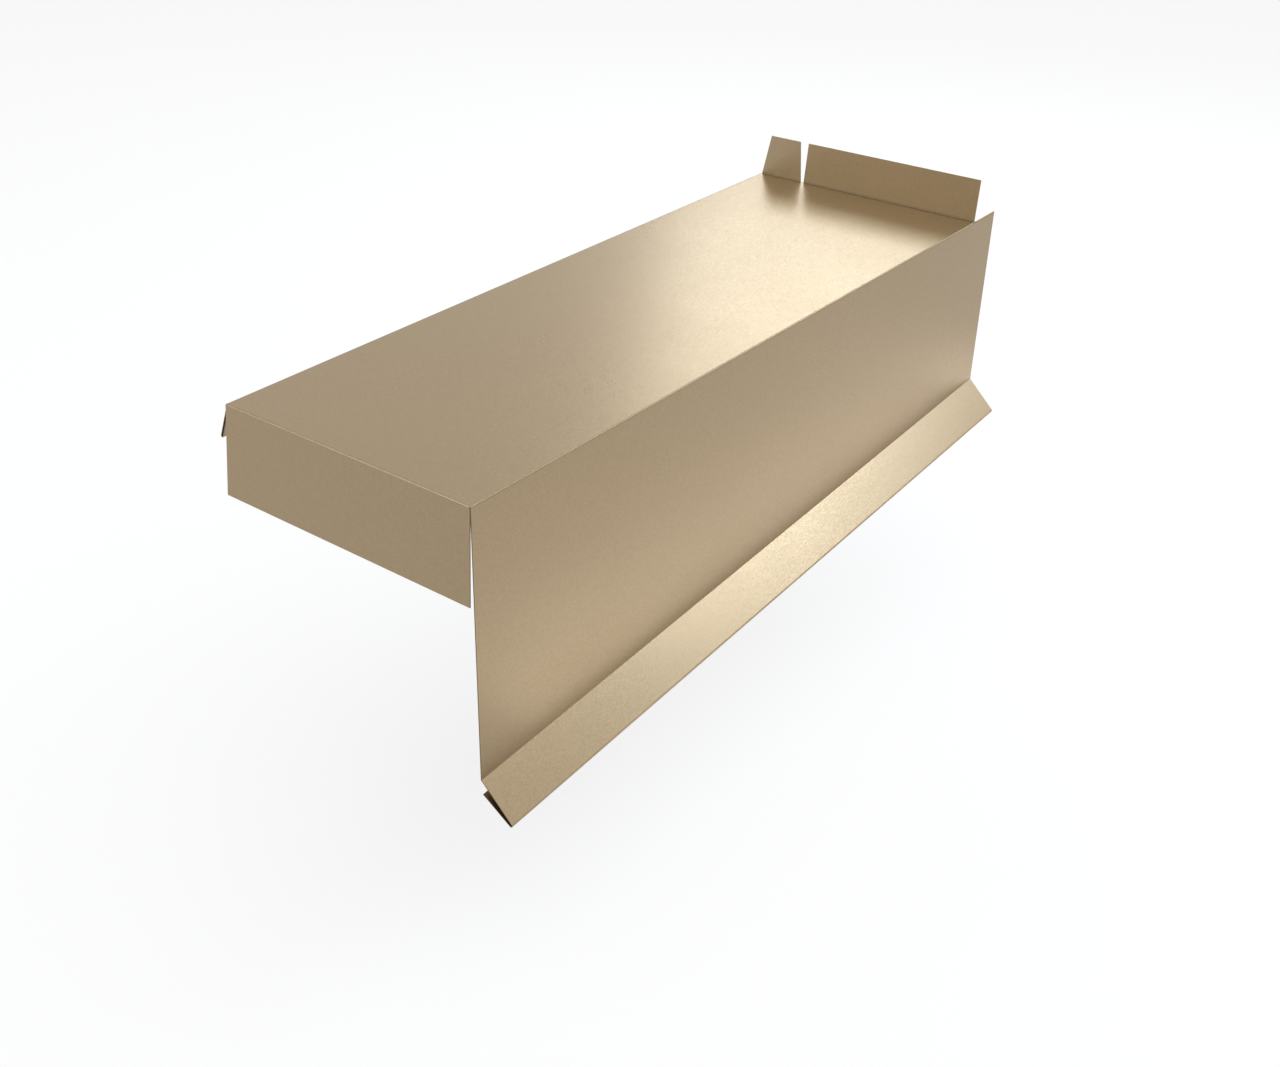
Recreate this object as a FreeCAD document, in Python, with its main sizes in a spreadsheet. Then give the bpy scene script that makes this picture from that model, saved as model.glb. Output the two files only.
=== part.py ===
import FreeCAD, Part
import math
import os
from enum import IntEnum

import Sketcher
from FreeCAD import Placement, Rotation, Vector

# Verge flashing: one folded sheet of coated steel.
# The frame is in millimetres. The origin is the middle of the cap's underside, which lies on the verge.
# X runs from the lean flange to the tapered side, Y from the front flap to the rear upstand, Z is up.
# Widths are outside sizes: from the corner that the painted faces would meet in, to the next one,
# to a cut edge, or to the furthest point of a hem's fold.

NODE = "verge_flashing"

SIZES = {
    "sheet_thickness": 0.5,
    # inside radius of every bend but the two hems' folds
    "bend_radius": 0.3,
    # the cap, flat on the verge
    "cap_width": 150,
    "cap_length": 440,
    # the tapered side, and how far it runs on behind the cap
    "side_front_depth": 140,
    "side_rear_depth": 110,
    "side_overrun": 25,
    # the drip kicked out along the side's slanted lower edge, and the open hem under it
    "drip_width": 25,
    "drip_fall": 43.5,
    "drip_hem_width": 19.7,
    "drip_hem_opening": 10.5,
    "drip_hem_radius": 0.55,
    # the lean flange along the other long edge, and its hem
    "flange_width": 20.5,
    "flange_lean": 22,
    "flange_hem_width": 12,
    "flange_hem_radius": 0.3,
    # the flap folded down at the front: it flares at the flange and is cut back at the side
    "flap_depth": 49.5,
    "flap_flare": 7.2,
    "flap_cutback": 2.8,
    "flap_slit": 0.1,
    # the upstand at the rear: its outer end is cut back, and a notch parts it into two tabs
    "upstand_height": 25,
    "upstand_cutback": 6.1,
    "notch_base_from_flange": 29.5,
    "notch_base_width": 2.1,
    "notch_top_from_flange": 27.4,
    "notch_top_width": 5.9,
}

# Sizes that follow from the ones above.
DERIVED = {
    "outer_radius": "=bend_radius + sheet_thickness",
    "half_width": "=cap_width / 2",
    "half_length": "=cap_length / 2",
    "side_length": "=cap_length + side_overrun",
    "side_taper": "=side_front_depth - side_rear_depth",
    "drip_turn": "=90 - drip_fall",
    "drip_setback": "=bend_radius * tan(drip_turn / 2 * 1deg)",
    "drip_fold_radius": "=drip_hem_radius + sheet_thickness",
    "drip_fold_turn": "=180 - drip_hem_opening",
    "flange_turn": "=90 - flange_lean",
    "flange_setback": "=outer_radius * tan(flange_turn / 2 * 1deg)",
    "flange_fold_radius": "=flange_hem_radius + sheet_thickness",
}

# Turns in a sketch, in degrees.
SQUARE_TURN = "90"
TURN_BACK = "180"

# Headings in a sketch, a square turn apart.
HEADINGS = ("right", "up", "left", "down")

# The element that holds a sketch's origin.
ORIGIN = -1


class Spot(IntEnum):
    """The points of a sketch's element, as its constraints number them."""

    START = 1
    END = 2
    CENTRE = 3


class View:
    """How a sketch is turned, and which side of a line in it a positive offset lies on."""

    def __init__(self, turn, offset_side):
        self.turn = turn
        self.offset_side = offset_side


# From the front X is across, and from the side Y is.
FRONT_VIEW = View(Rotation(Vector(1, 0, 0), 90), "left")
SIDE_VIEW = View(Rotation(Vector(1, 1, 1), 120), "right")


def fill_sheet(doc):
    """Write the driving sizes and what follows from them into the document's sheet."""
    sheet = doc.addObject("Spreadsheet::Sheet", "Sizes")
    for row, (alias, value) in enumerate({**SIZES, **DERIVED}.items(), start=1):
        sheet.set("A%d" % row, alias)
        sheet.set("B%d" % row, str(value))
        sheet.setAlias("B%d" % row, alias)
    doc.recompute()


class Drawing:
    """A sketch whose sizes are formulas of the sheet."""

    def __init__(self, doc, name, view, **offset):
        self.offset_side = view.offset_side
        self.sketch = doc.addObject("Sketcher::SketchObject", name)
        self.sketch.Placement = Placement(Vector(0, 0, 0), view.turn)
        for axis, formula in offset.items():
            self.sketch.setExpression("Placement.Base." + axis, formula)

    def number(self, formula):
        """What a formula of the sheet gives now."""
        return float(self.sketch.evalExpression(formula))

    def size(self, kind, formula, *where):
        """Add a dimension that a formula of the sheet drives."""
        unit = "deg" if kind == "Angle" else "mm"
        amount = self.number(formula)
        if kind == "Angle":
            amount = math.radians(amount)
        index = self.sketch.addConstraint(Sketcher.Constraint(kind, *where, amount))
        self.sketch.setExpression("Constraints[%d]" % index, "(%s) * 1 %s" % (formula, unit))

    def relate(self, kind, *where):
        """Add a constraint that has no size."""
        self.sketch.addConstraint(Sketcher.Constraint(kind, *where))

    def pin(self, element, point, across, up):
        """Hold a point of an element at its two distances from the sketch's origin."""
        self.size("DistanceX", across, ORIGIN, Spot.START, element, point)
        self.size("DistanceY", up, ORIGIN, Spot.START, element, point)

    def outline(self, corners):
        """Draw a closed outline of straight edges through corners given as formulas."""
        points = [Vector(self.number(across), self.number(up), 0) for across, up in corners]
        edges = []
        for here, there in zip(points, points[1:] + points[:1]):
            edges.append(self.sketch.addGeometry(Part.LineSegment(here, there)))
        for edge, after in zip(edges, edges[1:] + edges[:1]):
            self.relate("Coincident", edge, Spot.END, after, Spot.START)
        for edge, (across, up) in zip(edges, corners):
            self.pin(edge, Spot.START, across, up)

    def fold_line(self, start, heading, steps):
        """Draw the painted face's line as flats and bends, each tangent to the one before.

        A flat is ("flat", length), and a bend ("left" or "right", radius, turn).
        """
        point = Vector(self.number(start[0]), self.number(start[1]), 0)
        course = HEADINGS.index(heading) * math.pi / 2
        before = None
        for kind, size, *turn in steps:
            amount = self.number(size)
            if kind == "flat":
                finish = point + Vector(math.cos(course), math.sin(course), 0) * amount
                element = self.sketch.addGeometry(Part.LineSegment(point, finish))
                first, last = Spot.START, Spot.END
                self.size("Distance", size, element)
            else:
                side = 1 if kind == "left" else -1
                to_centre = course + side * math.pi / 2
                centre = point + Vector(math.cos(to_centre), math.sin(to_centre), 0) * amount
                opens = to_centre + math.pi
                course += side * math.radians(self.number(turn[0]))
                closes = course - side * math.pi / 2
                finish = centre + Vector(math.cos(closes), math.sin(closes), 0) * amount
                circle = Part.Circle(centre, Vector(0, 0, 1), amount)
                if side > 0:
                    arc = Part.ArcOfCircle(circle, opens, closes + 2 * math.pi)
                    first, last = Spot.START, Spot.END
                else:
                    arc = Part.ArcOfCircle(circle, closes, opens)
                    first, last = Spot.END, Spot.START
                element = self.sketch.addGeometry(arc)
                self.size("Radius", size, element)
                self.size("Angle", turn[0], element)
            if before:
                self.relate("Tangent", *before, element, first)
            else:
                self.pin(element, first, *start)
                self.aim(kind, element, first, heading in ("left", "right"))
            before = (element, last)
            point = finish

    def aim(self, kind, element, first, along):
        """Hold a fold line's first element along or across the sketch."""
        if kind == "flat":
            self.relate("Horizontal" if along else "Vertical", element)
        else:
            self.relate("Vertical" if along else "Horizontal", element, first, element, Spot.CENTRE)


class Folder:
    """Makes the sheet's folded stretches as solids of the document."""

    def __init__(self, doc):
        self.doc = doc

    def thicken(self, name, line, side):
        """Give a fold line the sheet's thickness on its left or right side, away from the paint."""
        strip = self.doc.addObject("Part::Offset2D", name)
        strip.Source = line.sketch
        strip.Mode = "Skin"
        strip.Fill = True
        sign = "" if side == line.offset_side else "-"
        strip.setExpression("Value", sign + "Sizes.sheet_thickness")
        return strip

    def extrude(self, name, base, **reach):
        """Extrude a face or a closed sketch by a vector whose parts are formulas."""
        solid = self.doc.addObject("Part::Extrusion", name)
        solid.Base = base
        solid.DirMode = "Custom"
        solid.Solid = True
        for axis in "xyz":
            solid.setExpression("Dir." + axis, reach.get(axis, "0"))
        return solid

    def trim(self, name, strip, outline):
        """Keep what lies within an outline's prism."""
        solid = self.doc.addObject("Part::MultiCommon", name)
        solid.Shapes = [strip, outline]
        return solid


def cap_and_flange(doc, folder):
    """The cap, the lean flange along its outer edge and the hem folded up inside the flange."""
    line = Drawing(doc, "CapLine", FRONT_VIEW, y="Sizes.outer_radius - Sizes.half_length")
    line.fold_line(
        ("Sizes.half_width - Sizes.outer_radius", "Sizes.sheet_thickness"),
        "left",
        [
            ("flat", "Sizes.cap_width - Sizes.outer_radius - Sizes.flange_setback"),
            ("left", "Sizes.outer_radius", "Sizes.flange_turn"),
            ("flat", "Sizes.flange_width - Sizes.flange_setback - Sizes.flange_fold_radius"),
            ("left", "Sizes.flange_fold_radius", TURN_BACK),
            ("flat", "Sizes.flange_hem_width - Sizes.flange_fold_radius"),
        ],
    )
    strip = folder.thicken("CapStrip", line, "left")
    length = "Sizes.cap_length - Sizes.outer_radius - Sizes.bend_radius"
    return folder.extrude("CapAndFlange", strip, y=length)


def side_bend(doc, folder):
    """The bend between the cap and the side, from the front edge to the rear fold."""
    line = Drawing(doc, "SideBendLine", FRONT_VIEW, y="-Sizes.half_length")
    line.fold_line(
        ("Sizes.half_width", "Sizes.sheet_thickness - Sizes.outer_radius"),
        "up",
        [("left", "Sizes.outer_radius", SQUARE_TURN)],
    )
    strip = folder.thicken("SideBendStrip", line, "left")
    return folder.extrude("SideBend", strip, y="Sizes.cap_length")


def tapered_side(doc, folder):
    """The side: its lower edge climbs towards the rear, and it runs on behind the cap."""
    top = "Sizes.sheet_thickness"
    bend_end = "Sizes.sheet_thickness - Sizes.outer_radius"
    front_foot = "Sizes.sheet_thickness - Sizes.side_front_depth + Sizes.drip_setback"
    rear_foot = "Sizes.sheet_thickness - Sizes.side_rear_depth + Sizes.drip_setback"
    rear = "Sizes.side_length - Sizes.half_length"
    outline = Drawing(doc, "SideOutline", SIDE_VIEW, x="Sizes.half_width - Sizes.sheet_thickness")
    outline.outline([
        ("-Sizes.half_length", bend_end),
        ("-Sizes.half_length", front_foot),
        (rear, rear_foot),
        (rear, top),
        ("Sizes.half_length", top),
        ("Sizes.half_length", bend_end),
    ])
    return folder.extrude("TaperedSide", outline.sketch, x="Sizes.sheet_thickness")


def drip_and_hem(doc, folder):
    """The drip and its open hem, carried along the slanted lower edge and cut upright at both ends."""
    line = Drawing(doc, "DripLine", FRONT_VIEW, y="-Sizes.half_length")
    line.fold_line(
        (
            "Sizes.half_width",
            "Sizes.sheet_thickness - Sizes.side_front_depth + Sizes.drip_setback",
        ),
        "down",
        [
            ("left", "Sizes.bend_radius", "Sizes.drip_turn"),
            ("flat", "Sizes.drip_width - Sizes.drip_setback - Sizes.drip_fold_radius"),
            ("right", "Sizes.drip_fold_radius", "Sizes.drip_fold_turn"),
            ("flat", "Sizes.drip_hem_width - Sizes.drip_fold_radius"),
        ],
    )
    strip = folder.thicken("DripStrip", line, "right")
    return folder.extrude("DripAndHem", strip, y="Sizes.side_length", z="Sizes.side_taper")


def front_flap(doc, folder):
    """The flap folded down at the front, parted from the side by a slit that opens downwards."""
    line = Drawing(doc, "FlapLine", SIDE_VIEW, x="-Sizes.half_width - Sizes.flap_flare")
    line.fold_line(
        ("Sizes.outer_radius - Sizes.half_length", "Sizes.sheet_thickness"),
        "left",
        [
            ("left", "Sizes.outer_radius", SQUARE_TURN),
            ("flat", "Sizes.flap_depth - Sizes.outer_radius"),
        ],
    )
    strip = folder.thicken("FlapStrip", line, "left")
    band = folder.extrude("FlapBand", strip, x="Sizes.cap_width + Sizes.flap_flare")
    outline = Drawing(doc, "FlapOutline", FRONT_VIEW, y="-Sizes.half_length")
    outline.outline([
        ("-Sizes.half_width", "Sizes.sheet_thickness"),
        ("-Sizes.half_width - Sizes.flap_flare", "Sizes.sheet_thickness - Sizes.flap_depth"),
        ("Sizes.half_width - Sizes.flap_cutback", "Sizes.sheet_thickness - Sizes.flap_depth"),
        ("Sizes.half_width - Sizes.sheet_thickness - Sizes.flap_slit", "Sizes.sheet_thickness"),
    ])
    prism = folder.extrude("FlapPrism", outline.sketch, y="Sizes.outer_radius")
    return folder.trim("FrontFlap", band, prism)


def rear_upstand(doc, folder):
    """The upstand at the rear, as two tabs on either side of a notch."""
    line = Drawing(doc, "UpstandLine", SIDE_VIEW, x="-Sizes.half_width")
    line.fold_line(
        ("Sizes.half_length - Sizes.bend_radius", "Sizes.sheet_thickness"),
        "right",
        [
            ("left", "Sizes.bend_radius", SQUARE_TURN),
            ("flat", "Sizes.upstand_height - Sizes.bend_radius"),
        ],
    )
    strip = folder.thicken("UpstandStrip", line, "right")
    band = folder.extrude("UpstandBand", strip, x="Sizes.cap_width")
    crown = "Sizes.sheet_thickness + Sizes.upstand_height"
    outline = Drawing(doc, "UpstandOutline", FRONT_VIEW, y="Sizes.half_length - Sizes.bend_radius")
    outline.outline([
        ("Sizes.flange_setback - Sizes.half_width", "0"),
        ("Sizes.notch_base_from_flange - Sizes.half_width", "0"),
        ("Sizes.notch_top_from_flange - Sizes.half_width", crown),
        ("Sizes.upstand_cutback - Sizes.half_width", crown),
    ])
    outline.outline([
        ("Sizes.notch_base_from_flange + Sizes.notch_base_width - Sizes.half_width", "0"),
        ("Sizes.half_width - Sizes.outer_radius", "0"),
        ("Sizes.half_width", crown),
        ("Sizes.notch_top_from_flange + Sizes.notch_top_width - Sizes.half_width", crown),
    ])
    prism = folder.extrude("UpstandPrism", outline.sketch, y="Sizes.outer_radius")
    return folder.trim("RearUpstand", band, prism)


def fold_sheet(doc):
    """Join every stretch into the one folded sheet."""
    folder = Folder(doc)
    stretches = [
        cap_and_flange(doc, folder),
        side_bend(doc, folder),
        tapered_side(doc, folder),
        drip_and_hem(doc, folder),
        front_flap(doc, folder),
        rear_upstand(doc, folder),
    ]
    flashing = doc.addObject("Part::MultiFuse", "VergeFlashing")
    flashing.Shapes = stretches
    flashing.Refine = True
    flashing.Label = NODE
    flashing.Placement = Placement()
    return flashing


def check_document(doc, flashing):
    """Stop if any object failed, or if the flashing isn't one sound solid."""
    for item in doc.Objects:
        failed = {"Invalid", "Error"} & set(item.State)
        if failed:
            raise RuntimeError("%s is %s" % (item.Name, ", ".join(failed)))
    shape = flashing.Shape
    if shape.isNull() or not shape.isValid():
        raise RuntimeError("%s has no sound shape" % flashing.Label)
    if len(shape.Solids) != 1:
        raise RuntimeError("%s is %d solids, not one" % (flashing.Label, len(shape.Solids)))


def main():
    """Build the document, check it and write the part."""
    doc = FreeCAD.newDocument("VergeFlashing")
    fill_sheet(doc)
    flashing = fold_sheet(doc)
    doc.recompute()
    check_document(doc, flashing)
    os.makedirs("parts", exist_ok=True)
    flashing.Shape.exportStep("parts/%s.step" % flashing.Label)
    box = flashing.Shape.BoundBox
    print("%s: %.1f x %.1f x %.1f mm" % (flashing.Label, box.XLength, box.YLength, box.ZLength))
    print("%.0f mm3 in %d faces" % (flashing.Shape.Volume, len(flashing.Shape.Faces)))


main()
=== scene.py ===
"""Dresses a folded verge flashing: one bent sheet with a champagne metallic coat.

The sheet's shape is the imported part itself. This script gives it its coat, sets it over
a pale studio floor, and adds soft lamps and the camera.
"""

import logging
import math
from dataclasses import dataclass
from enum import Enum

import bpy
from mathutils import Euler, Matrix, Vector


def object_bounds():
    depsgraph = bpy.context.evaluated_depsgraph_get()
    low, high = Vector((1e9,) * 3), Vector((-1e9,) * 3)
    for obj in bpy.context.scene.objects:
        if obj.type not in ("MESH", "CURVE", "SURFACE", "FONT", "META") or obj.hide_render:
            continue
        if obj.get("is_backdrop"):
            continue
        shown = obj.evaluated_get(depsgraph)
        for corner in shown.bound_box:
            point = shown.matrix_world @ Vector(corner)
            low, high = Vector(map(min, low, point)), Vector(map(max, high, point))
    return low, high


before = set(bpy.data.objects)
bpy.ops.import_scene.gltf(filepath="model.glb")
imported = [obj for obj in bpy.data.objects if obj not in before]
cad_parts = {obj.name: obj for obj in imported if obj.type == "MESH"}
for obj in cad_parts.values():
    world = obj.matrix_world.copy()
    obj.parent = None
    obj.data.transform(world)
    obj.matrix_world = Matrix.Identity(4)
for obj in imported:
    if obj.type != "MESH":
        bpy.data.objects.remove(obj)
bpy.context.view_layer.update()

MILLIMETRE = 0.001
LOG = logging.getLogger("verge_flashing")

FULL_PART = 255
DARK_LIMIT = 0.04045
DARK_SLOPE = 12.92
CURVE_OFFSET = 0.055
CURVE_POWER = 2.4

MIX_FIRST = 6
MIX_SECOND = 7
MIX_RESULT = 2

Colour = tuple[float, float, float]
WHITE: Colour = (1.0, 1.0, 1.0)
COOL_WHITE: Colour = (0.80, 0.90, 1.0)
BLUE_WHITE: Colour = (0.69, 0.82, 1.0)


def display_colour(red: int, green: int, blue: int) -> Colour:
    """Turns a display colour into the linear colour that shaders use.

    Args:
        red: Red from 0 to 255.
        green: Green from 0 to 255.
        blue: Blue from 0 to 255.

    Returns:
        The same colour as three linear parts from 0 to 1.
    """

    def linear(part: int) -> float:
        """Returns one linear part."""
        share = part / FULL_PART
        if share <= DARK_LIMIT:
            return share / DARK_SLOPE
        return ((share + CURVE_OFFSET) / (1 + CURVE_OFFSET)) ** CURVE_POWER

    return linear(red), linear(green), linear(blue)


class Signal:
    """A number that varies over a surface, carried by a shader socket."""

    def __init__(self, shader: "Shader", socket: bpy.types.NodeSocket) -> None:
        """Wraps a socket.

        Args:
            shader: The node tree that the socket belongs to.
            socket: The output socket that carries the number.
        """
        self.shader = shader
        self.socket = socket

    def _math(self, operation: str, first: object, second: object) -> "Signal":
        """Adds one Math node.

        Args:
            operation: The Math node's operation.
            first: The first value, a number or a Signal.
            second: The second value, a number or a Signal.

        Returns:
            The node's result.
        """
        made = self.shader.add("ShaderNodeMath", {"operation": operation}, {0: first, 1: second})
        return Signal(self.shader, made.outputs[0])

    def __add__(self, other: object) -> "Signal":
        """Returns this value plus another."""
        return self._math("ADD", self, other)

    def __radd__(self, other: object) -> "Signal":
        """Returns another value plus this one."""
        return self._math("ADD", other, self)

    def __sub__(self, other: object) -> "Signal":
        """Returns this value minus another."""
        return self._math("SUBTRACT", self, other)

    def __rsub__(self, other: object) -> "Signal":
        """Returns another value minus this one."""
        return self._math("SUBTRACT", other, self)

    def __mul__(self, other: object) -> "Signal":
        """Returns this value times another."""
        return self._math("MULTIPLY", self, other)

    def __rmul__(self, other: object) -> "Signal":
        """Returns another value times this one."""
        return self._math("MULTIPLY", other, self)

    def __gt__(self, other: object) -> "Signal":
        """Returns 1 where this value is the larger, and 0 elsewhere."""
        return self._math("GREATER_THAN", self, other)

    def __lt__(self, other: object) -> "Signal":
        """Returns 1 where this value is the smaller, and 0 elsewhere."""
        return self._math("LESS_THAN", self, other)

    def either(self, other: object) -> "Signal":
        """Returns the larger of this value and another."""
        return self._math("MAXIMUM", self, other)

    def within(self, inner: float, outer: float) -> "Signal":
        """Turns a distance into a soft mask.

        Args:
            inner: The distance up to which the mask is 1.
            outer: The distance from which the mask is 0.

        Returns:
            The mask.
        """
        made = self.shader.add(
            "ShaderNodeMapRange",
            {"interpolation_type": "SMOOTHSTEP"},
            {"Value": self, "From Min": inner, "From Max": outer, "To Min": 1, "To Max": 0},
        )
        return self.shader.signal(made)


class Shader:
    """Adds nodes to the tree of one material or world."""

    def __init__(self, tree: bpy.types.NodeTree) -> None:
        """Empties a node tree.

        Args:
            tree: The node tree of a material or world.
        """
        self.tree = tree
        tree.nodes.clear()

    def add(
        self,
        kind: str,
        settings: dict[str, object] | None = None,
        sockets: dict[str | int, object] | None = None,
    ) -> bpy.types.Node:
        """Adds one node.

        Args:
            kind: The node's type.
            settings: The node's own settings, which are set first.
            sockets: A value, a Signal or an output socket for each named input.

        Returns:
            The new node.
        """
        node = self.tree.nodes.new(kind)
        for name, value in (settings or {}).items():
            setattr(node, name, value)
        for name, value in (sockets or {}).items():
            if isinstance(value, Signal):
                value = value.socket
            if isinstance(value, bpy.types.NodeSocket):
                self.tree.links.new(value, node.inputs[name])
            else:
                node.inputs[name].default_value = value
        return node

    def signal(self, node: bpy.types.Node, output: str | int = 0) -> Signal:
        """Returns one output of a node as a Signal."""
        return Signal(self, node.outputs[output])

    def blend(self, share: object, first: object, second: object) -> bpy.types.NodeSocket:
        """Mixes two colours.

        Args:
            share: How much of the second colour there is, from 0 to 1.
            first: The colour where the share is 0.
            second: The colour where the share is 1.

        Returns:
            The mixed colour.
        """
        mixed = self.add(
            "ShaderNodeMix",
            {"data_type": "RGBA"},
            {"Factor": share, MIX_FIRST: first, MIX_SECOND: second},
        )
        return mixed.outputs[MIX_RESULT]

    def shown(self) -> Signal:
        """Returns 1 for rays that show a thing, and 0 for those by which it lights others."""
        path = self.add("ShaderNodeLightPath")
        direct = self.signal(path, "Is Camera Ray")
        mirrored = self.signal(path, "Is Glossy Ray")
        through = self.signal(path, "Is Transmission Ray")
        return direct.either(mirrored).either(through)


class Fold(Enum):
    """A fold line of the cap: the coordinate it keeps, where in millimetres, and how strongly it is
    painted with shade and made rougher.
    """

    SIDE = ("X", 75.0, 0.25)
    FLANGE = ("X", -75.0, 0.25)
    FLAP = ("Y", -220.0, 0.10)
    UPSTAND = ("Y", 219.7, 0.35)


@dataclass(frozen=True)
class ChampagneCoat:
    """A metallic champagne coil coat: fine flakes, a pearled grain, folds painted darker as shade and
    made rougher, and cut ends painted darker, partly as bare cut metal and partly as painted shade of the
    hem gaps.
    """

    name: str = "champagne_coat"
    light: Colour = display_colour(161, 142, 114)
    dark: Colour = display_colour(153, 134, 106)
    edge_tint: Colour = (0.98, 0.96, 0.93)
    # Darker tone painted along the fold lines: painted shade in the bends.
    painted_fold_shade: Colour = display_colour(104, 88, 64)
    # Darker tone on the cut ends: partly the bare cut edge, partly painted shade of the hem gaps.
    bare_end_and_shade: Colour = display_colour(118, 101, 76)
    roughness: float = 0.32
    cloud_roughness: float = 0.05
    fold_roughness: float = 0.35
    end_roughness: float = 0.25
    flake_size: float = 0.62 * MILLIMETRE
    flake_lean: float = 0.03
    flake_roughness: float = 0.08
    grain_size: float = 0.9 * MILLIMETRE
    grain_detail: float = 2.0
    cloud_size: float = 60 * MILLIMETRE
    cloud_detail: float = 1.0
    grain_height: float = 0.015 * MILLIMETRE
    fold_top: float = 0.5 * MILLIMETRE
    fold_inner: float = 0.4 * MILLIMETRE
    fold_outer: float = 1.1 * MILLIMETRE
    side_from: float = 74.3 * MILLIMETRE
    side_below: float = 0.6 * MILLIMETRE
    flange_from: float = -74.9 * MILLIMETRE
    flange_behind: float = -219.35 * MILLIMETRE
    end_facing: float = 0.9

    def noise(self, shader: Shader, place: bpy.types.NodeSocket, size: float, detail: float) -> Signal:
        """Adds a noise pattern.

        Args:
            shader: The material's node tree.
            place: The coordinates, in metres.
            size: How wide one speck is, in metres.
            detail: How many finer layers lie over it.

        Returns:
            The pattern, from 0 to 1.
        """
        made = shader.add(
            "ShaderNodeTexNoise",
            {"noise_dimensions": "3D"},
            {"Vector": place, "Scale": 1 / size, "Detail": detail},
        )
        return shader.signal(made, "Fac")

    def flakes(self, shader: Shader, place: bpy.types.NodeSocket) -> bpy.types.NodeSocket:
        """Adds the flakes of the coat, each with a colour of its own.

        Args:
            shader: The material's node tree.
            place: The coordinates, in metres.

        Returns:
            Three numbers from 0 to 1 for each flake.
        """
        cells = shader.add(
            "ShaderNodeTexVoronoi",
            {"voronoi_dimensions": "3D"},
            {"Vector": place, "Scale": 1 / self.flake_size},
        )
        return cells.outputs["Color"]

    def tilted(self, shader: Shader, flakes: bpy.types.NodeSocket) -> bpy.types.NodeSocket:
        """Leans each flake a little out of the sheet's plane, so that the highlights sparkle.

        Args:
            shader: The material's node tree.
            flakes: Three numbers from 0 to 1 for each flake.

        Returns:
            The surface direction of each flake.
        """
        lean = shader.add(
            "ShaderNodeVectorMath",
            {"operation": "MULTIPLY_ADD"},
            {0: flakes, 1: (self.flake_lean,) * 3, 2: (-self.flake_lean / 2,) * 3},
        )
        sheet = shader.add("ShaderNodeNewGeometry")
        leaned = shader.add(
            "ShaderNodeVectorMath",
            {"operation": "ADD"},
            {0: sheet.outputs["Normal"], 1: lean.outputs[0]},
        )
        unit = shader.add("ShaderNodeVectorMath", {"operation": "NORMALIZE"}, {0: leaned.outputs[0]})
        return unit.outputs[0]

    def fold_shade_and_dullness(self, across: dict[str, Signal]) -> Signal:
        """Marks the fold lines of the cap, where the coat is painted darker as shade in the bends and
        made rougher.

        Args:
            across: The coordinates by axis, in metres.

        Returns:
            A mask with each fold's own strength of painted shade and roughness along it, and 0 elsewhere.
        """
        mask = None
        for fold in Fold:
            axis, place, shade_and_dullness = fold.value
            aside = across[axis] - place * MILLIMETRE
            above = across["Z"] - self.fold_top
            near = (aside * aside + above * above).within(self.fold_inner**2, self.fold_outer**2)
            line = near * shade_and_dullness
            mask = line if mask is None else mask + line
        return mask

    def cut_ends(self, across: dict[str, Signal], facing: Signal) -> Signal:
        """Marks the ends where the sheet was cut across, which are painted darker: partly bare cut metal,
        partly painted shade of the hem gaps.

        Args:
            across: The coordinates by axis, in metres.
            facing: The surface direction along the part, from -1 to 1.

        Returns:
            A mask that is 1 on the cut ends.
        """
        side = (across["X"] > self.side_from) * (across["Z"] < self.side_below)
        flange = (across["X"] < self.flange_from) * (across["Y"] > self.flange_behind)
        return (facing * facing > self.end_facing) * (side + flange)

    def material(self) -> bpy.types.Material:
        """Builds the coat.

        Returns:
            The finished material.
        """
        made = bpy.data.materials.new(self.name)
        made.use_nodes = True
        shader = Shader(made.node_tree)
        spot = shader.add("ShaderNodeTexCoord")
        place = spot.outputs["Object"]
        split = shader.add("ShaderNodeSeparateXYZ", None, {0: place})
        across = {axis: shader.signal(split, axis) for axis in "XYZ"}
        direction = shader.add("ShaderNodeSeparateXYZ", None, {0: spot.outputs["Normal"]})
        flakes = self.flakes(shader, place)
        parts = shader.add("ShaderNodeSeparateColor", None, {"Color": flakes})
        cloud = self.noise(shader, place, self.cloud_size, self.cloud_detail)
        grain = self.noise(shader, place, self.grain_size, self.grain_detail)
        fold_shade_and_dullness = self.fold_shade_and_dullness(across)
        ends = self.cut_ends(across, shader.signal(direction, "Y"))
        tone = shader.blend(parts.outputs["Red"], (*self.dark, 1), (*self.light, 1))
        # Painted shade: darkens the tone along the fold lines.
        tone = shader.blend(fold_shade_and_dullness, tone, (*self.painted_fold_shade, 1))
        # Darkens the cut ends: partly bare cut metal, partly painted shade of the hem gaps.
        tone = shader.blend(ends, tone, (*self.bare_end_and_shade, 1))
        relief = shader.add(
            "ShaderNodeBump",
            None,
            {
                "Strength": 1,
                "Distance": self.grain_height,
                "Height": grain,
                "Normal": self.tilted(shader, flakes),
            },
        )
        roughness = self.roughness + self.cloud_roughness * (cloud - 0.5)
        roughness = roughness + self.flake_roughness * (shader.signal(parts, "Green") - 0.5)
        roughness = roughness + self.fold_roughness * fold_shade_and_dullness + self.end_roughness * ends
        surface = shader.add(
            "ShaderNodeBsdfPrincipled",
            None,
            {
                "Base Color": tone,
                "Metallic": 1,
                "Specular Tint": (*self.edge_tint, 1),
                "Roughness": roughness,
                "Normal": relief.outputs[0],
            },
        )
        shader.add("ShaderNodeOutputMaterial", None, {"Surface": surface.outputs[0]})
        return made


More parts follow.
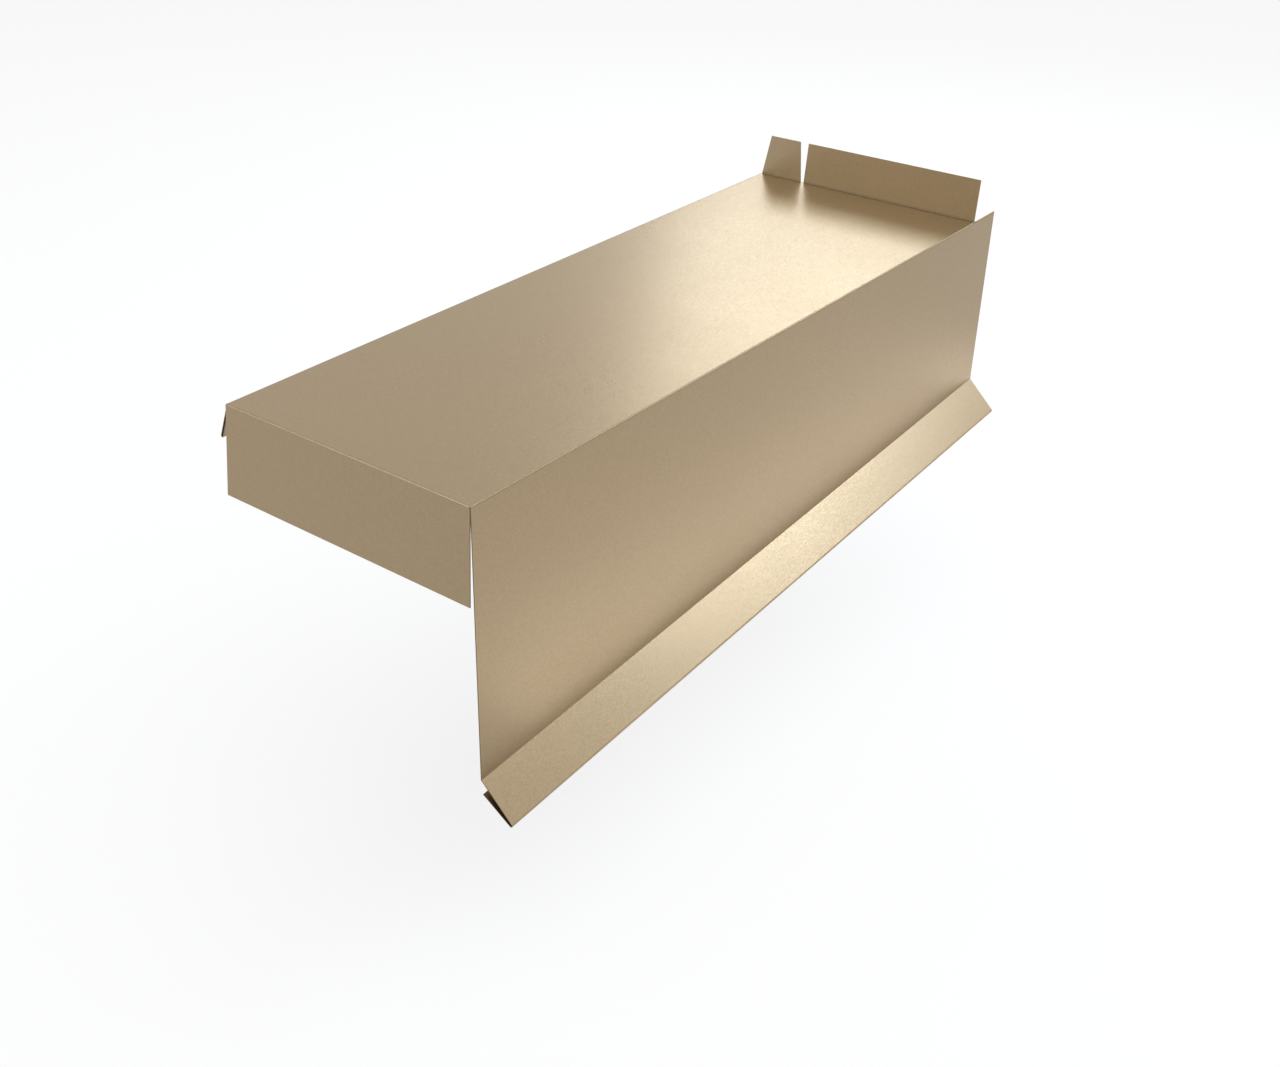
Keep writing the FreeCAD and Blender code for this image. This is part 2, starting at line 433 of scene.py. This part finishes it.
@dataclass(frozen=True)
class PaleFloorPaint:
    """A plain pale floor finish, which keeps shadows but shows them light."""

    name: str = "pale_floor"
    colour: Colour = display_colour(246, 246, 246)
    roughness: float = 0.9
    whiteness: float = 0.75

    def material(self) -> bpy.types.Material:
        """Builds the floor's finish.

        Returns:
            The finished material.
        """
        made = bpy.data.materials.new(self.name)
        made.use_nodes = True
        shader = Shader(made.node_tree)
        surface = shader.add(
            "ShaderNodeBsdfPrincipled",
            None,
            {"Base Color": (*self.colour, 1), "Roughness": self.roughness},
        )
        white = shader.add("ShaderNodeEmission", None, {"Color": (*WHITE, 1), "Strength": 1})
        mixed = shader.add(
            "ShaderNodeMixShader",
            None,
            {0: self.whiteness * shader.shown(), 1: surface.outputs[0], 2: white.outputs[0]},
        )
        shader.add("ShaderNodeOutputMaterial", None, {"Surface": mixed.outputs[0]})
        return made


@dataclass
class FoldedSheet:
    """The one bent sheet: cap, flange, side, drip, hems, flap and upstand."""

    node: str = "verge_flashing"
    coat: ChampagneCoat = ChampagneCoat()

    def dress(self) -> None:
        """Gives the sheet its coat in every material slot."""
        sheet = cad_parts[self.node]
        coat = self.coat.material()
        for slot in sheet.material_slots:
            slot.material = coat
        LOG.info("dressed %s with %s", self.node, coat.name)


class LampSide(Enum):
    """Where a lamp stands round the part."""

    REAR_LEFT = "rear_left"
    REAR_RIGHT = "rear_right"
    FRONT_LEFT = "front_left"
    OVERHEAD = "overhead"
    FLOOR_RIGHT = "floor_right"


@dataclass(frozen=True)
class SoftLamp:
    """A soft box that faces the middle of the part, unless it leans back or swings round.

    Bearings run from +Y towards -X. Angles are in degrees, lengths in metres, and a level of 1 is white.
    """

    side: LampSide
    bearing: float
    elevation: float
    distance: float
    width: float
    height: float
    level: float
    colour: Colour = WHITE
    lean: float = 0.0
    swing: float = 0.0

    def place(self, aim: Vector) -> None:
        """Adds the lamp.

        Args:
            aim: The point that the lamp faces, in metres.
        """
        data = bpy.data.lights.new(self.side.value, "AREA")
        data.shape = "RECTANGLE"
        data.size = self.width
        data.size_y = self.height
        data.color = self.colour
        data.energy = self.level * math.pi * self.width * self.height
        lamp = bpy.data.objects.new(self.side.value, data)
        heading = math.radians(self.bearing + 180)
        stand = Euler((math.radians(90 - self.elevation), 0, heading))
        leaned = math.radians(90 - self.elevation + self.lean)
        lamp.rotation_euler = (leaned, 0, heading + math.radians(self.swing))
        lamp.location = aim + stand.to_matrix() @ Vector((0, 0, self.distance))
        lamp.visible_camera = False
        bpy.context.scene.collection.objects.link(lamp)
        LOG.info("lamp %s at %s", self.side.value, tuple(round(part, 3) for part in lamp.location))


@dataclass
class Studio:
    """The floor, the surroundings and the lamps."""

    floor_paint: PaleFloorPaint = PaleFloorPaint()
    floor_reach: float = 12.0
    floor_drop: float = 0.08
    surroundings_level: float = 0.65
    lamps: tuple[SoftLamp, ...] = (
        SoftLamp(
            LampSide.REAR_LEFT,
            bearing=22,
            elevation=28,
            distance=1.4,
            width=0.62,
            height=0.45,
            level=3.4,
            colour=COOL_WHITE,
        ),
        SoftLamp(
            LampSide.REAR_RIGHT,
            bearing=-32,
            elevation=32,
            distance=1.4,
            width=0.65,
            height=0.32,
            level=7.5,
            colour=BLUE_WHITE,
        ),
        SoftLamp(
            LampSide.FRONT_LEFT,
            bearing=151,
            elevation=20,
            distance=1.6,
            width=0.90,
            height=0.55,
            level=2.75,
            colour=BLUE_WHITE,
        ),
        SoftLamp(
            LampSide.OVERHEAD,
            bearing=-90,
            elevation=80,
            distance=2.6,
            width=3.00,
            height=3.00,
            level=1.0,
        ),
        SoftLamp(
            LampSide.FLOOR_RIGHT,
            bearing=-38,
            elevation=-30,
            distance=0.34,
            width=0.13,
            height=0.66,
            level=0.6,
            lean=60,
            swing=38,
        ),
    )

    def lay_floor(self) -> None:
        """Lays a wide pale floor a little below the part's lowest point."""
        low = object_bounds()[0][2] - self.floor_drop
        reach = self.floor_reach
        corners = [(-reach, -reach, low), (reach, -reach, low), (reach, reach, low), (-reach, reach, low)]
        mesh = bpy.data.meshes.new("floor")
        mesh.from_pydata(corners, [], [(0, 1, 2, 3)])
        mesh.materials.append(self.floor_paint.material())
        floor = bpy.data.objects.new("floor", mesh)
        bpy.context.scene.collection.objects.link(floor)
        floor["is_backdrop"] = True
        LOG.info("floor at %.4f m", low)

    def surround(self) -> None:
        """Makes the surroundings white to the eye and in reflections, and dimmer as a lamp."""
        world = bpy.data.worlds.new("surroundings")
        world.use_nodes = True
        shader = Shader(world.node_tree)
        strength = self.surroundings_level + (1 - self.surroundings_level) * shader.shown()
        sky = shader.add("ShaderNodeBackground", None, {"Color": (*WHITE, 1), "Strength": strength})
        shader.add("ShaderNodeOutputWorld", None, {"Surface": sky.outputs[0]})
        bpy.context.scene.world = world
        LOG.info("surroundings at level %.2f", self.surroundings_level)

    def light(self) -> None:
        """Places every lamp round the part's middle."""
        low, high = (Vector(corner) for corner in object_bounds())
        for lamp in self.lamps:
            lamp.place((low + high) / 2)

    def build(self) -> None:
        """Builds the whole studio and sets the plain view."""
        self.lay_floor()
        self.surround()
        self.light()
        bpy.context.scene.view_settings.view_transform = "Standard"


@dataclass(frozen=True)
class ProductCamera:
    """The camera at the photograph's viewing angle."""

    name: str = "product_camera"
    location: tuple[float, float, float] = (0.44436, -0.60823, 0.30276)
    turn: float = 39.133
    tilt_down: float = 31.002
    lens: float = 43.233
    sensor: float = 36.0
    shift_right: float = 0.05103
    shift_up: float = 0.01084

    def place(self) -> None:
        """Adds the camera and makes it the scene's own."""
        data = bpy.data.cameras.new(self.name)
        data.lens = self.lens
        data.sensor_width = self.sensor
        data.shift_x = self.shift_right
        data.shift_y = self.shift_up
        camera = bpy.data.objects.new(self.name, data)
        camera.location = self.location
        camera.rotation_euler = (math.radians(90 - self.tilt_down), 0, math.radians(self.turn))
        bpy.context.scene.collection.objects.link(camera)
        bpy.context.scene.camera = camera
        LOG.info("camera placed")


def main() -> None:
    """Builds the dressed part and its studio in order."""
    logging.basicConfig(level=logging.INFO, format="%(name)s: %(message)s")
    FoldedSheet().dress()
    Studio().build()
    ProductCamera().place()


if __name__ == "__main__":
    main()
